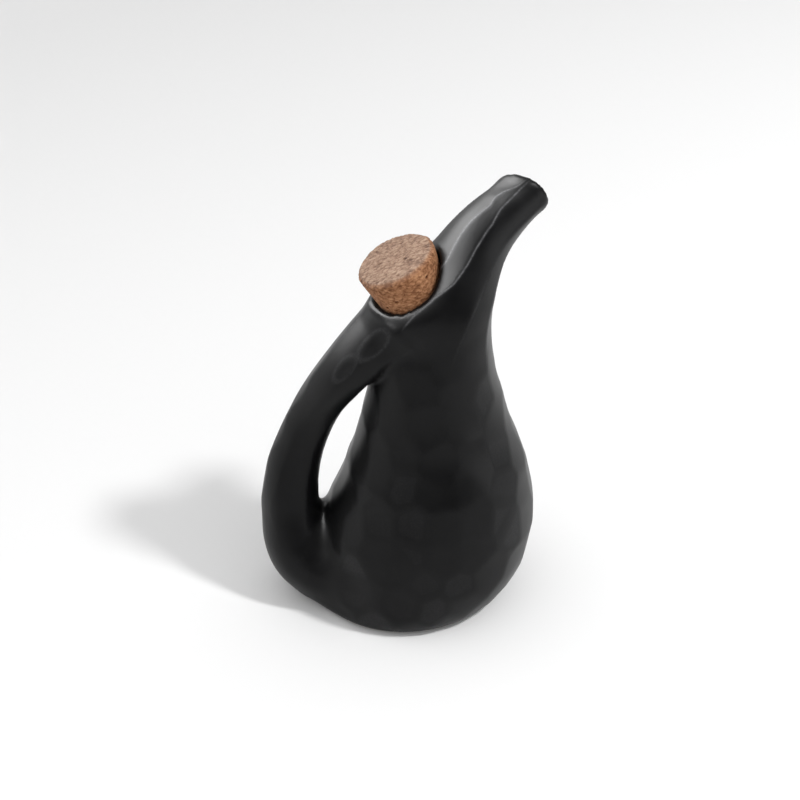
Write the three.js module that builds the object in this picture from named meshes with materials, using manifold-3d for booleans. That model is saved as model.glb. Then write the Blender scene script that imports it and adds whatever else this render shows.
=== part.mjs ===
// Oil cruet: a hollow stoneware teardrop with a leaning spout, a loop handle
// and a tapered cork in a filler hole at the foot of the spout.
// Millimetres, +Z up, origin at the middle of the foot, +X towards the spout.
import * as THREE from 'three';
import { mergeVertices } from 'three/addons/utils/BufferGeometryUtils.js';
import Module from 'manifold-3d';

// Driving dimensions of the vessel: stations up its middle line. Each gives
// its step from the one below, the half sizes of the outer wall there, and the
// lean of its plane off level and its turn aside, in degrees. The rise is the
// belly's section, drawn in a little all round.
const drawnIn = 0.5;
const belly = { forward: 5, aside: 0, up: 25, halfWidth: 48, halfDepth: 45, lean: 0, turn: 0 };
const rise = {
  forward: 6,
  aside: 0,
  up: 13,
  halfWidth: belly.halfWidth - drawnIn,
  halfDepth: belly.halfDepth - drawnIn,
  lean: 0,
  turn: 0,
};
const foot = { forward: 0, aside: 0, up: 0, halfWidth: 44, halfDepth: 41.5, lean: 0, turn: 0 };
const flank = { forward: 3.5, aside: 0, up: 28, halfWidth: 40.5, halfDepth: 41, lean: 0, turn: 0 };
const waist = { forward: -0.5, aside: 0, up: 29, halfWidth: 32, halfDepth: 32, lean: 3, turn: 0 };
const shoulder = { forward: 1, aside: 0, up: 31.5, halfWidth: 26, halfDepth: 26, lean: 17, turn: 0 };
const throat = { forward: 10.5, aside: 1, up: 36.5, halfWidth: 17, halfDepth: 21, lean: 40, turn: 3 };
const beak = { forward: 9.5, aside: 5.5, up: 15.5, halfWidth: 13, halfDepth: 13.5, lean: 49, turn: 13 };
const mouth = { forward: 18.5, aside: 9.5, up: 13.5, halfWidth: 9.5, halfDepth: 11, lean: 70, turn: 52 };

// Clay thickness, and where the luted joints between the pieces run
const wall = 4.5;
const lipWall = 2.5;
const floorThickness = 6;
const jointGap = 0.3;
const spoutAboveThroat = 12;

// Driving dimensions of the handle: stations beside those of the vessel. Each
// gives its height above the vessel's station, and how far the handle's line
// stands out from the back of the vessel's wall at that height.
const root = { beside: rise, above: 3, out: -25, aside: 0, halfWidth: 13, halfDepth: 20.5 };
const heel = { beside: rise, above: 6, out: 4, aside: 2.5, halfWidth: 15, halfDepth: 20.5 };
const outer = { beside: belly, above: 8.5, out: 17, aside: 6, halfWidth: 13, halfDepth: 14 };
const arm = { beside: waist, above: -2, out: 20, aside: 8.5, halfWidth: 10.5, halfDepth: 11.5 };
const upper = { beside: shoulder, above: -4.5, out: 9.5, aside: 1.5, halfWidth: 11, halfDepth: 15 };
const join = { beside: shoulder, above: 16.5, out: -5, aside: 0, halfWidth: 16, halfDepth: 18 };

// Driving dimensions of the cork and of the seat that it is pressed into
const corkTopRadius = 17;
const corkTaper = 7;
const corkLength = 34;
const corkShowing = 15;
const corkChamfer = 1.2;
const corkTilt = 24;
const corkClearance = 0.3;
const seatBelowThroat = 15;
const seatRadius = 16.5;
const collarWall = 2.5;
const collarDepth = 14;

// How finely the curved surfaces are divided
const vesselSides = 32;
const vesselStep = 6;
const handleSides = 22;
const handleStep = 6;
const corkSides = 36;
const placeTolerance = 1e-6;
const weldTolerance = 1e-4;

const wasm = await Module();
wasm.setup();

const radians = THREE.MathUtils.degToRad;
const clamp = THREE.MathUtils.clamp;

// The place at which a rising function reaches a wanted value
function placeWhere(rising, wanted, low, high) {
  const middle = (low + high) / 2;
  if (high - low < placeTolerance) return middle;
  if (rising(middle) < wanted) return placeWhere(rising, wanted, middle, high);
  return placeWhere(rising, wanted, low, middle);
}

// A smooth run through stations: between two of them every value follows a
// cubic, whose slope at a station is weighed from the straight runs beside it
function smoothRun(stations) {
  const at = [0];
  for (let i = 1; i < stations.length; i += 1) {
    const across = stations[i].reach - stations[i - 1].reach;
    const climb = stations[i].height - stations[i - 1].height;
    at.push(at[i - 1] + Math.hypot(across, climb));
  }
  const last = stations.length - 1;
  const straight = (key, i) => (stations[i + 1][key] - stations[i][key]) / (at[i + 1] - at[i]);
  const slope = (key, i) => {
    if (i === 0) return straight(key, 0);
    if (i === last) return straight(key, last - 1);
    const before = at[i] - at[i - 1];
    const after = at[i + 1] - at[i];
    return (straight(key, i - 1) * after + straight(key, i) * before) / (before + after);
  };
  const value = (key, s) => {
    let i = 0;
    while (i < last - 1 && s > at[i + 1]) i += 1;
    const span = at[i + 1] - at[i];
    const t = clamp((s - at[i]) / span, 0, 1);
    const blend = t * t * (3 - 2 * t);
    const level = stations[i][key] * (1 - blend) + stations[i + 1][key] * blend;
    const leaving = slope(key, i) * t * (1 - t) * (1 - t);
    const arriving = slope(key, i + 1) * t * t * (t - 1);
    return level + (leaving + arriving) * span;
  };
  const middle = (s) => new THREE.Vector3(value('reach', s), value('sweep', s), value('height', s));
  return { at, value, middle, length: at[last] };
}

// The vessel's stations stand on each other from the foot up
const vesselStations = [];
const vesselPlaces = new Map();
for (const station of [foot, rise, belly, flank, waist, shoulder, throat, beak, mouth]) {
  const below = vesselStations.at(-1) ?? { reach: 0, sweep: 0, height: 0 };
  const reach = below.reach + station.forward;
  const sweep = below.sweep + station.aside;
  const height = below.height + station.up;
  vesselPlaces.set(station, vesselStations.length);
  vesselStations.push({ ...station, reach, sweep, height });
}
const vesselRun = smoothRun(vesselStations);
const runAt = (station) => vesselRun.at[vesselPlaces.get(station)];

// The half axes of a vessel section: side points up its leaning plane, away
// from the spout, and depth lies level
function vesselAxes(s) {
  const lean = radians(vesselRun.value('lean', s));
  const turn = radians(vesselRun.value('turn', s));
  const level = Math.cos(lean);
  const side = new THREE.Vector3(-level * Math.cos(turn), -level * Math.sin(turn), Math.sin(lean));
  const depth = new THREE.Vector3(-Math.sin(turn), Math.cos(turn), 0);
  return { side, depth };
}

// The back of the vessel's wall, away from the spout
function backOfWall(s) {
  return vesselRun.middle(s).addScaledVector(vesselAxes(s).side, vesselRun.value('halfWidth', s));
}

// The handle's stations stand off the back of the vessel
const handleStations = [root, heel, outer, arm, upper, join].map((station) => {
  const height = vesselStations[vesselPlaces.get(station.beside)].height + station.above;
  const s = placeWhere((place) => backOfWall(place).z, height, 0, vesselRun.length);
  return { ...station, height, reach: backOfWall(s).x - station.out, sweep: station.aside };
});
const handleRun = smoothRun(handleStations);

// The half axes of a handle section, square to the handle's line
function handleAxes(s) {
  const step = 0.5;
  const along = handleRun.middle(Math.min(s + step, handleRun.length));
  along.sub(handleRun.middle(Math.max(s - step, 0)));
  const side = new THREE.Vector3().crossVectors(along, new THREE.Vector3(0, 1, 0)).normalize();
  const depth = new THREE.Vector3().crossVectors(side, along).normalize();
  return { side, depth };
}

// The points of one wall section, with its half sizes taken in by inset
function ring(run, axes, sides, s, inset) {
  const { side, depth } = axes(s);
  const halfWidth = run.value('halfWidth', s) - inset;
  const halfDepth = run.value('halfDepth', s) - inset;
  const points = [];
  for (let k = 0; k < sides; k += 1) {
    const around = (2 * Math.PI * k) / sides;
    const point = run.middle(s);
    point.addScaledVector(side, halfWidth * Math.cos(around));
    point.addScaledVector(depth, halfDepth * Math.sin(around));
    points.push(point);
  }
  return points;
}

// The places of the sections from start to end, the same ones for every wall
// that shares a stretch
function places(start, end, step) {
  const list = [start];
  const margin = step / 4;
  for (let s = Math.ceil((start + margin) / step) * step; s < end - margin; s += step) list.push(s);
  list.push(end);
  return list;
}

// Triangles between each ring and the next, with the rings in rows
function bands(ringCount, sides, bandCount) {
  const faces = [];
  for (let i = 0; i < bandCount; i += 1) {
    const row = i * sides;
    const nextRow = ((i + 1) % ringCount) * sides;
    for (let k = 0; k < sides; k += 1) {
      const next = (k + 1) % sides;
      faces.push(row + k, nextRow + next, row + next);
      faces.push(row + k, nextRow + k, nextRow + next);
    }
  }
  return faces;
}

function geometryFrom(points, faces) {
  const geometry = new THREE.BufferGeometry();
  geometry.setFromPoints(points);
  geometry.setIndex(faces);
  return geometry;
}

// A filled form over a row of rings, with a fan across the first and the last
function filledForm(rings) {
  const sides = rings[0].length;
  const points = rings.flat();
  const faces = bands(rings.length, sides, rings.length - 1);
  const lastRow = (rings.length - 1) * sides;
  const firstHub = points.length;
  const lastHub = firstHub + 1;
  for (const end of [rings[0], rings.at(-1)]) {
    const hub = new THREE.Vector3();
    end.forEach((point) => hub.addScaledVector(point, 1 / sides));
    points.push(hub);
  }
  for (let k = 0; k < sides; k += 1) {
    const next = (k + 1) % sides;
    faces.push(firstHub, k, next);
    faces.push(lastHub, lastRow + next, lastRow + k);
  }
  return geometryFrom(points, faces);
}

// A tube's wall: up the outside, over the end, down the inside and back
function tubeWall(outside, inside) {
  const rings = [...outside, ...[...inside].reverse()];
  return geometryFrom(rings.flat(), bands(rings.length, outside[0].length, rings.length));
}

// Solids to join and cut, made from closed geometry, and back again
function solidFrom(geometry) {
  const bare = geometry.clone();
  bare.deleteAttribute('normal');
  bare.deleteAttribute('uv');
  const merged = mergeVertices(bare, weldTolerance);
  const vertProperties = new Float32Array(merged.attributes.position.array);
  const triVerts = new Uint32Array(merged.index.array);
  return new wasm.Manifold(new wasm.Mesh({ numProp: 3, vertProperties, triVerts }));
}

function geometryOf(solid) {
  const { vertProperties, triVerts } = solid.getMesh();
  const geometry = new THREE.BufferGeometry();
  geometry.setAttribute('position', new THREE.BufferAttribute(new Float32Array(vertProperties), 3));
  geometry.setIndex(new THREE.BufferAttribute(new Uint32Array(triVerts), 1));
  geometry.computeVertexNormals();
  return geometry;
}

function vesselRings(start, end, inset) {
  return places(start, end, vesselStep).map((s) => ring(vesselRun, vesselAxes, vesselSides, s, inset(s)));
}

// The clay keeps its full thickness up to the throat and thins to the lip
function clayThickness(s) {
  const share = clamp((s - runAt(throat)) / (vesselRun.length - runAt(throat)), 0, 1);
  return wall + (lipWall - wall) * share;
}

function vesselWall(start, end) {
  return tubeWall(vesselRings(start, end, () => 0), vesselRings(start, end, clayThickness));
}

// The seat lies on the back of the neck, square to the cork's tilted line
const seat = backOfWall(runAt(throat) - seatBelowThroat);
const corkAttitude = new THREE.Euler(Math.PI / 2, -radians(corkTilt), 0, 'YXZ');
const corkRadiusAt = (above) => corkTopRadius - (corkShowing - above) * Math.tan(radians(corkTaper));

// A form turned about the cork's line: its profile is pairs of a radius and a
// height above the seat, from the line and back to it
function turnedForm(profile) {
  return new THREE.LatheGeometry(profile.map(([r, h]) => new THREE.Vector2(r, h)), corkSides);
}

function solidOnSeat(profile) {
  const geometry = turnedForm(profile);
  geometry.applyQuaternion(new THREE.Quaternion().setFromEuler(corkAttitude));
  geometry.translate(seat.x, seat.y, seat.z);
  return solidFrom(geometry);
}

// A cone about the cork's line that widens upwards as the cork does
function cone(seatLevelRadius, low, high) {
  const radiusAt = (above) => seatLevelRadius + above * Math.tan(radians(corkTaper));
  return solidOnSeat([[0, low], [radiusAt(low), low], [radiusAt(high), high], [0, high]]);
}

// The filled forms that the joints are cut from
const wholeVessel = solidFrom(filledForm(vesselRings(0, vesselRun.length, () => 0)));
const vesselAndGap = solidFrom(filledForm(vesselRings(0, vesselRun.length, () => -jointGap)));
const handleRings = places(0, handleRun.length, handleStep);
const wholeHandle = solidFrom(
  filledForm(handleRings.map((s) => ring(handleRun, handleAxes, handleSides, s, 0))),
);
const outOfTheWay = 2 * corkTopRadius;
const collarRadius = seatRadius + collarWall;
const lowCollar = cone(collarRadius, -collarDepth, 0);
const collar = cone(collarRadius, -collarDepth, outOfTheWay);
const collarAndGap = cone(collarRadius + jointGap, -collarDepth - jointGap, outOfTheWay);
const seatPocket = cone(seatRadius, 0, outOfTheWay);
const holeRadiusAt = (above) => corkRadiusAt(above) + corkClearance;
const fillerHole = solidOnSeat([
  [0, -corkLength],
  [holeRadiusAt(-corkLength), -corkLength],
  [holeRadiusAt(corkShowing), corkShowing],
  [0, corkShowing],
]);

// Where the pieces of the vessel meet along its run
const halfGap = jointGap / 2;
const bowlStart = placeWhere((s) => vesselRun.value('height', s), floorThickness, 0, runAt(belly));
const neckStart = runAt(waist);
const spoutStart = runAt(throat) + spoutAboveThroat;

function footDisc() {
  return filledForm(vesselRings(0, bowlStart - halfGap, () => 0));
}

function bowlWall() {
  return vesselWall(bowlStart + halfGap, neckStart - halfGap);
}

// The neck's wall carries a collar round the filler hole. It stands out of the
// skin up to the seat, and above the seat it ends flush with the skin.
function neckWall() {
  const tube = solidFrom(vesselWall(neckStart + halfGap, spoutStart - halfGap));
  const flushCollar = wholeVessel.add(wholeHandle).intersect(collar);
  const opening = seatPocket.add(fillerHole);
  return geometryOf(tube.add(flushCollar).add(lowCollar).subtract(opening));
}

function spout() {
  return vesselWall(spoutStart + halfGap, vesselRun.length);
}

function handle() {
  return geometryOf(wholeHandle.subtract(vesselAndGap).subtract(collarAndGap));
}

function corkStopper() {
  const low = corkShowing - corkLength;
  return turnedForm([
    [0, low],
    [corkRadiusAt(low) - corkChamfer, low],
    [corkRadiusAt(low + corkChamfer), low + corkChamfer],
    [corkRadiusAt(corkShowing - corkChamfer), corkShowing - corkChamfer],
    [corkTopRadius - corkChamfer, corkShowing],
    [0, corkShowing],
  ]);
}

// Materials: satin black glaze over dark stoneware, and natural cork
const blackGlaze = () => new THREE.MeshStandardMaterial({ color: 0x232324, roughness: 0.42, metalness: 0 });
const naturalCork = () => new THREE.MeshStandardMaterial({ color: 0xbd9a76, roughness: 0.9, metalness: 0 });

function piece(name, geometry, material) {
  if (!geometry.attributes.normal) geometry.computeVertexNormals();
  const mesh = new THREE.Mesh(geometry, material);
  mesh.name = name;
  return mesh;
}

const vessel = new THREE.Group();
vessel.add(
  piece('foot_disc', footDisc(), blackGlaze()),
  piece('bowl_wall', bowlWall(), blackGlaze()),
  piece('neck_wall', neckWall(), blackGlaze()),
  piece('spout', spout(), blackGlaze()),
  piece('handle', handle(), blackGlaze()),
);

const cork = piece('cork_stopper', corkStopper(), naturalCork());
cork.rotation.copy(corkAttitude);
cork.position.copy(seat);

const cruet = new THREE.Group();
cruet.add(vessel, cork);

export default cruet;
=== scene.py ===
# %% [markdown]
# # Oil cruet in black stoneware, with a cork
#
# The real cruet is built by hand from clay: a teardrop bowl that leans up into
# a spout, and a loop of clay for a handle. All its joints were smeared over
# before firing, so it is one skin without seams. The cork is the only loose
# piece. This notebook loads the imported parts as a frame, grows the fired skin
# over them, dresses the cork, and sets up floor, light and camera.

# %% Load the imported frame
import math

import bpy
import numpy as np
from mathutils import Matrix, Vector


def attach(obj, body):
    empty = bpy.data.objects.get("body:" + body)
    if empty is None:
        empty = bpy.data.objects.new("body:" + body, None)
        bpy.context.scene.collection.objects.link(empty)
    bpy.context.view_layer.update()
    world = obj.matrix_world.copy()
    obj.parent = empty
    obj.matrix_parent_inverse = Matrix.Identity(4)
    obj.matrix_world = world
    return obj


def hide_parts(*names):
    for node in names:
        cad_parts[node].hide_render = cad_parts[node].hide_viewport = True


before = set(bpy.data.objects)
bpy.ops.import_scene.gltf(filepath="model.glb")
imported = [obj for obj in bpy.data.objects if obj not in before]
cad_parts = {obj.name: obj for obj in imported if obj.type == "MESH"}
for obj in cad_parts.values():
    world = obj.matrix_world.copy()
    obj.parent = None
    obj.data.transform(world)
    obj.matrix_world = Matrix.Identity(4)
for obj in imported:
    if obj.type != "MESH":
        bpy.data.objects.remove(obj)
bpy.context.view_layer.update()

MM = 0.001
seed = 7

# %% [markdown]
# ## The vessel's stations
#
# A potter pulls the form up in stages, and each stage is written here as one
# station: where the middle of the wall section lies, how wide and deep the
# section is, and how far its plane leans and turns. They are the sizes that the
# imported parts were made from, so the skin lands on them with no fitting.

# %% Stations of the vessel and the handle, in millimetres and degrees
# Steps from the station below: forward, aside and up. Then the half width, the
# half depth, the lean off level and the turn aside.
vessel_steps = {
    "foot": (0, 0, 0, 44, 41.5, 0, 0),
    "rise": (6, 0, 13, 47.5, 44.5, 0, 0),
    "belly": (5, 0, 25, 48, 45, 0, 0),
    "flank": (3.5, 0, 28, 40.5, 41, 0, 0),
    "waist": (-0.5, 0, 29, 32, 32, 3, 0),
    "shoulder": (1, 0, 31.5, 26, 26, 17, 0),
    "throat": (10.5, 1, 36.5, 17, 21, 40, 3),
    "beak": (9.5, 5.5, 15.5, 13, 13.5, 49, 13),
    "mouth": (18.5, 9.5, 13.5, 9.5, 11, 70, 52),
}
# Beside which vessel station, the height above it, how far the line stands out
# from the wall's back, the sweep aside, the half width and the half depth.
handle_steps = {
    "root": ("rise", 3, -25, 0, 13, 20.5),
    "heel": ("rise", 6, 4, 2.5, 15, 20.5),
    "outer": ("belly", 8.5, 17, 6, 13, 14),
    "arm": ("waist", -2, 20, 8.5, 10.5, 11.5),
    "upper": ("shoulder", -4.5, 9.5, 1.5, 11, 15),
    "join": ("shoulder", 16.5, -5, 0, 16, 18),
}
wall = 4.5
lip_wall = 2.5
floor_thickness = 6
seat_below_throat = 15
seat_radius = 16.5
collar_wall = 2.5
collar_depth = 14
cork_top_radius = 17
cork_taper = 7
cork_length = 34
cork_showing = 15
cork_chamfer = 1.2
cork_tilt = 24
cork_clearance = 0.3


# %% [markdown]
# ## A smooth run through stations
#
# Between two stations every value follows a cubic. Its slope at a station is
# weighed from the straight runs on both sides, so the wall has no kinks. A
# spline object would do this too, but plain arrays let one formula serve the
# wall's place, its size and its lean alike.

# %% Smooth run
def run_along(rows):
    """Distance up the run at each station: the sum of the straight steps in X and Z."""
    steps = np.diff(rows[:, [0, 2]], axis=0)
    return np.concatenate([[0], np.cumsum(np.hypot(steps[:, 0], steps[:, 1]))])


def smooth_values(at, rows, s):
    """Cubic through rows at the places at, read at s.

    value = y0 (1 - b) + y1 b + span (m0 t (1 - t)^2 + m1 t^2 (t - 1)), where t runs
    from 0 to 1 between two stations, b = t^2 (3 - 2 t), and a slope m is the mean
    of the straight slopes on its two sides, each weighed with the other's span.
    """
    span = np.diff(at)[:, None]
    straight = np.diff(rows, axis=0) / span
    inner = (straight[:-1] * span[1:] + straight[1:] * span[:-1]) / (span[:-1] + span[1:])
    slope = np.vstack([straight[:1], inner, straight[-1:]])
    i = np.clip(np.searchsorted(at, s, side="right") - 1, 0, len(at) - 2)
    t = np.clip((s - at[i]) / (at[i + 1] - at[i]), 0, 1)[:, None]
    b = t * t * (3 - 2 * t)
    bend = slope[i] * t * (1 - t) ** 2 + slope[i + 1] * t * t * (t - 1)
    return rows[i] * (1 - b) + rows[i + 1] * b + bend * span[i]


steps = np.array(list(vessel_steps.values()), float)
vessel_rows = np.hstack([np.cumsum(steps[:, :3], axis=0), steps[:, 3:]])
vessel_at = run_along(vessel_rows)
vessel_station = dict(zip(vessel_steps, range(len(vessel_steps))))


def vessel_sections(s):
    """Middle, side axis, depth axis, plane normal and half sizes of the sections at s."""
    values = smooth_values(vessel_at, vessel_rows, s)
    lean, turn = np.radians(values[:, 5]), np.radians(values[:, 6])
    level = np.cos(lean)
    side = np.stack([-level * np.cos(turn), -level * np.sin(turn), np.sin(lean)], 1)
    depth = np.stack([-np.sin(turn), np.cos(turn), 0 * turn], 1)
    normal = np.cross(depth, side)
    return values[:, :3], side, depth, normal, values[:, 3:5]


def drawn_on(sections, first_reach, last_reach, end_share=1.0):
    """The same sections with one more past each end, straight on and end_share as large."""
    middle, side, depth, normal, half = (
        np.vstack([part[:1], part, part[-1:]]) for part in sections
    )
    middle[0] -= first_reach * normal[0]
    middle[-1] += last_reach * normal[-1]
    half[[0, -1]] *= end_share
    return middle, side, depth, normal, half


vessel_s = np.linspace(0, vessel_at[-1], 121)
vessel = vessel_sections(vessel_s)
print("vessel run in mm:", round(vessel_at[-1], 1), "top of the middle line:", vessel_rows[-1, 2])

# %% [markdown]
# ## The handle's line
#
# The handle is a rope of clay that stands off the back of the wall. Each of its
# stations is found from the back of the vessel at that height, so the finger
# gap keeps its width wherever the wall goes. Its sections stand square to the
# line, as those of a rolled rope of clay do. Both ends are drawn on into the
# wall and taper there, so that they leave no step in the smeared joint.

# %% Handle sections
back_line = vessel[0] + vessel[1] * vessel[4][:, :1]


def handle_station(beside, above, out, aside, half_width, half_depth):
    """One handle station: reach = back of the wall at its height - out."""
    height = vessel_rows[vessel_station[beside], 2] + above
    reach = np.interp(height, back_line[:, 2], back_line[:, 0]) - out
    return [reach, aside, height, half_width, half_depth]


handle_rows = np.array([handle_station(*row) for row in handle_steps.values()], float)
handle_at = run_along(handle_rows)


def handle_sections(s):
    """As vessel_sections, with the planes square to the line."""
    values = smooth_values(handle_at, handle_rows, s)
    along = np.gradient(values[:, :3], axis=0)
    along /= np.linalg.norm(along, axis=1, keepdims=True)
    side = np.cross(along, [0, 1, 0])
    side /= np.linalg.norm(side, axis=1, keepdims=True)
    depth = np.cross(side, along)
    return values[:, :3], side, depth, along, values[:, 3:5]


root_reach = 30
join_reach = 14
handle_end_share = 0.3
handle_s = np.linspace(0, handle_at[-1], 91)
handle = handle_sections(handle_s)
handle_drawn_on = drawn_on(handle, root_reach, join_reach, handle_end_share)
print("handle run in mm:", round(handle_at[-1], 1))

# %% [markdown]
# ## A field for the clay
#
# A loop that grows out of a bowl can't be one rectangular grid, and cutting
# grids into each other would leave seams where the potter's thumb left a
# smooth web. So the clay is worked out as a field: a number at every point of
# a lattice, below zero inside the clay. Fields are easy to blend, which is
# just what smearing a joint does, and the skin is where the field is zero.

# %% Field helpers
lattice = 1.18
margin = 4.0


far_away = 60.0


def field_of_run(points, sections):
    """About the distance from the wall of a run of elliptic sections, in mm.

    Each point belongs to the section plane that holds it. With (u, v) its place
    in that plane and (a, b) the half sizes, k = |(u/a, v/b)| and
    m = |(u/a^2, v/b^2)|, the distance is k (k - 1) / m. Where several planes
    hold a point, the nearest wall counts. The second value is the plane's index,
    the third the turn round the section, 0 at the side axis.
    """
    middle, side, depth, normal, half = sections
    best = np.full(len(points), far_away, np.float32)
    plane = np.zeros(len(points), np.float32)
    turn = np.zeros(len(points), np.float32)
    before = (points - middle[0]) @ normal[0]
    for i in range(1, len(middle)):
        after = (points - middle[i]) @ normal[i]
        held = np.nonzero((before >= 0) & (after < 0))[0]
        share = before[held] / (before[held] - after[held])
        mix = share[:, None]
        off = points[held] - (middle[i - 1] * (1 - mix) + middle[i] * mix)
        size = half[i - 1] * (1 - mix) + half[i] * mix
        across = side[i - 1] * (1 - mix) + side[i] * mix
        level = depth[i - 1] * (1 - mix) + depth[i] * mix
        u = (off * across).sum(1) / size[:, 0]
        v = (off * level).sum(1) / size[:, 1]
        k = np.hypot(u, v)
        m = np.hypot(u / size[:, 0], v / size[:, 1]) + 1e-6
        distance = k * (k - 1) / m
        closer = distance < best[held]
        best[held[closer]] = distance[closer]
        plane[held[closer]] = i - 1 + share[closer]
        turn[held[closer]] = np.arctan2(v[closer], u[closer])
        before = after
    return best, plane, turn


def blend_in(a, b, reach):
    """Smooth union: the lesser of a and b, less h^2 reach / 4, h = 1 - |a - b| / reach."""
    h = np.clip(1 - np.abs(a - b) / reach, 0, None)
    return np.minimum(a, b) - h * h * reach / 4


def cut_out(a, b, reach):
    """Smooth cut of b from a: the same blend, turned inside out."""
    return -blend_in(-a, b, reach)


low_corner = np.array([-70.0, -50.0, -margin])
high_corner = np.array([66.0, 50.0, 206.0])
counts = np.ceil((high_corner - low_corner) / lattice).astype(int) + 1
axes = [low_corner[i] + lattice * np.arange(counts[i]) for i in range(3)]
points = np.stack(np.meshgrid(*axes, indexing="ij"), -1).reshape(-1, 3).astype(np.float32)
print("lattice:", counts.tolist(), "points:", len(points))

# %% [markdown]
# ## The outer wall and the handle
#
# The run's distance is divided by the length of its own gradient, so that a
# step of 1 in the field is 1 mm in the clay everywhere, also where the wall
# slants. Then the handle is smeared into the wall. Low down the web is broad,
# where the clay was pressed towards the foot with the side of a hand.

# %% Outer form
handle_smear = 3.0
heel_smear = 12.0
heel_top = 50
heel_fade = 20


def evened(field):
    """field / |gradient of field|, the gradient taken over the lattice."""
    block = field.reshape(counts)
    slope = np.sqrt(sum(g * g for g in np.gradient(block, lattice)))
    return (block / np.clip(slope, 0.5, 2.0)).reshape(-1)


vessel_drawn_on = drawn_on(vessel, 2 * margin, 2 * margin)
vessel_field, vessel_plane, _ = field_of_run(points, vessel_drawn_on)
vessel_field = evened(vessel_field)
handle_field = evened(field_of_run(points, handle_drawn_on)[0])
web = handle_smear + heel_smear * np.clip((heel_top - points[:, 2]) / heel_fade, 0, 1)
outside = blend_in(vessel_field, handle_field, web)
print("outer form:", int((outside < 0).sum() * lattice**3 / 1000), "cm3")

# %% [markdown]
# ## The hollow
#
# The bowl is hollow up to the mouth, and its floor turns up into the wall in a
# soft curve. The wall thins from the throat to the lip, as a thrown or pulled
# spout does. The hollow is one more field, kept for the cuts further down.

# %% Hollow
hollow_smear = 8.0
throat_plane = np.interp(vessel_at[vessel_station["throat"]], vessel_s, np.arange(len(vessel_s)))
thin_share = np.clip((vessel_plane - 1 - throat_plane) / (len(vessel_s) - 1 - throat_plane), 0, 1)
clay = wall + (lip_wall - wall) * thin_share
hollow = -blend_in(-(vessel_field + clay), -(floor_thickness - points[:, 2]), hollow_smear)
mouth_middle, _, _, mouth_normal, _ = (part[-1] for part in vessel)
beyond_mouth = (points - mouth_middle) @ mouth_normal

# %% [markdown]
# ## The cork's seat
#
# The cork stands in a tapered hole on the back of the neck, leaning away from
# the spout. Places round it are measured along and round the cork's own line.
# The hole has a sleeve of clay inside the neck, and a pocket that keeps the
# cork's swell clear above the seat.

# %% Seat
tilt = math.radians(cork_tilt)
seat_at = vessel_at[vessel_station["throat"]] - seat_below_throat
seat_section = vessel_sections(np.array([seat_at]))
seat = (seat_section[0] + seat_section[1] * seat_section[4][:, :1])[0]
cork_up = np.array([-math.sin(tilt), 0, math.cos(tilt)])
cork_side = np.array([math.cos(tilt), 0, math.sin(tilt)])


def cork_radius(above):
    """Radius of the cork at a height above the seat: top radius - (showing - above) tan(taper)."""
    return cork_top_radius - (cork_showing - above) * math.tan(math.radians(cork_taper))


from_seat = points - seat
height = from_seat @ cork_up
towards_spout = from_seat @ cork_side
radius = np.linalg.norm(from_seat - height[:, None] * cork_up, axis=1)
widening = height * math.tan(math.radians(cork_taper))
sleeve = np.maximum(radius - seat_radius - collar_wall - widening, -collar_depth - height)
pocket = np.maximum(radius - seat_radius - widening, -height)
hole = radius - (cork_radius(height) + cork_clearance)
hole = np.maximum(hole, np.maximum(height - cork_showing, -cork_length - height))
print("seat at", np.round(seat, 1))

# %% [markdown]
# ## The mound round the cork
#
# On the real cruet the clay swells up to the cork all round and falls away
# without an edge. It is a cone with a sloping top, smeared into the neck. A
# ring of even height would look like a cup, so the top is lower towards the
# handle and on the near side.

# %% Mound
mound_radius = 20.5
mound_flare = 0.25
mound_depth = 18
mound_edge = 7.0
mound_forward = 3.0
mound_base = 14.0
rim_slope = 0.12
near_slope = 0.08
collar_smear = 7.0
rim_height = rim_slope * towards_spout + near_slope * from_seat[:, 1]
to_mound = np.hypot(towards_spout - mound_forward, from_seat[:, 1])
mound = cut_out(to_mound - mound_radius + mound_flare * height, rim_height - height, mound_edge)
mound = cut_out(mound, mound_depth + height, mound_base)
outside = blend_in(outside, mound, collar_smear)

# %% [markdown]
# ## The cuts
#
# The hollow, the seat, the mouth and the flat foot are cut in the order in
# which a potter would do it. Each cut has a small smear, because wet clay
# holds no sharp edge, and the foot's is wide, where the rim was wiped round.

# %% Cuts
edge_smear = 1.6
lip_beyond = 1.3
foot_smear = 7.0
solid = np.minimum(cut_out(outside, hollow, edge_smear), np.maximum(sleeve, outside))
solid = cut_out(solid, pocket, edge_smear)
solid = cut_out(solid, hole, edge_smear / 2)
solid = cut_out(solid, lip_beyond - beyond_mouth, edge_smear)
solid = cut_out(solid, points[:, 2], foot_smear)
print("clay:", int((solid < 0).sum() * lattice**3 / 1000), "cm3")

# %% [markdown]
# ## From the field to a skin
#
# Surface nets put one vertex in each lattice cell that the skin passes
# through, at the mean of the places where it crosses the cell's edges, and one
# face round each crossed edge. That gives an even net of squares, which takes
# the hand-cut facets well. Marching cubes would give slivers here. The vertices
# then settle on the skin: each moves down the field's slope by the field's value.

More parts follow.
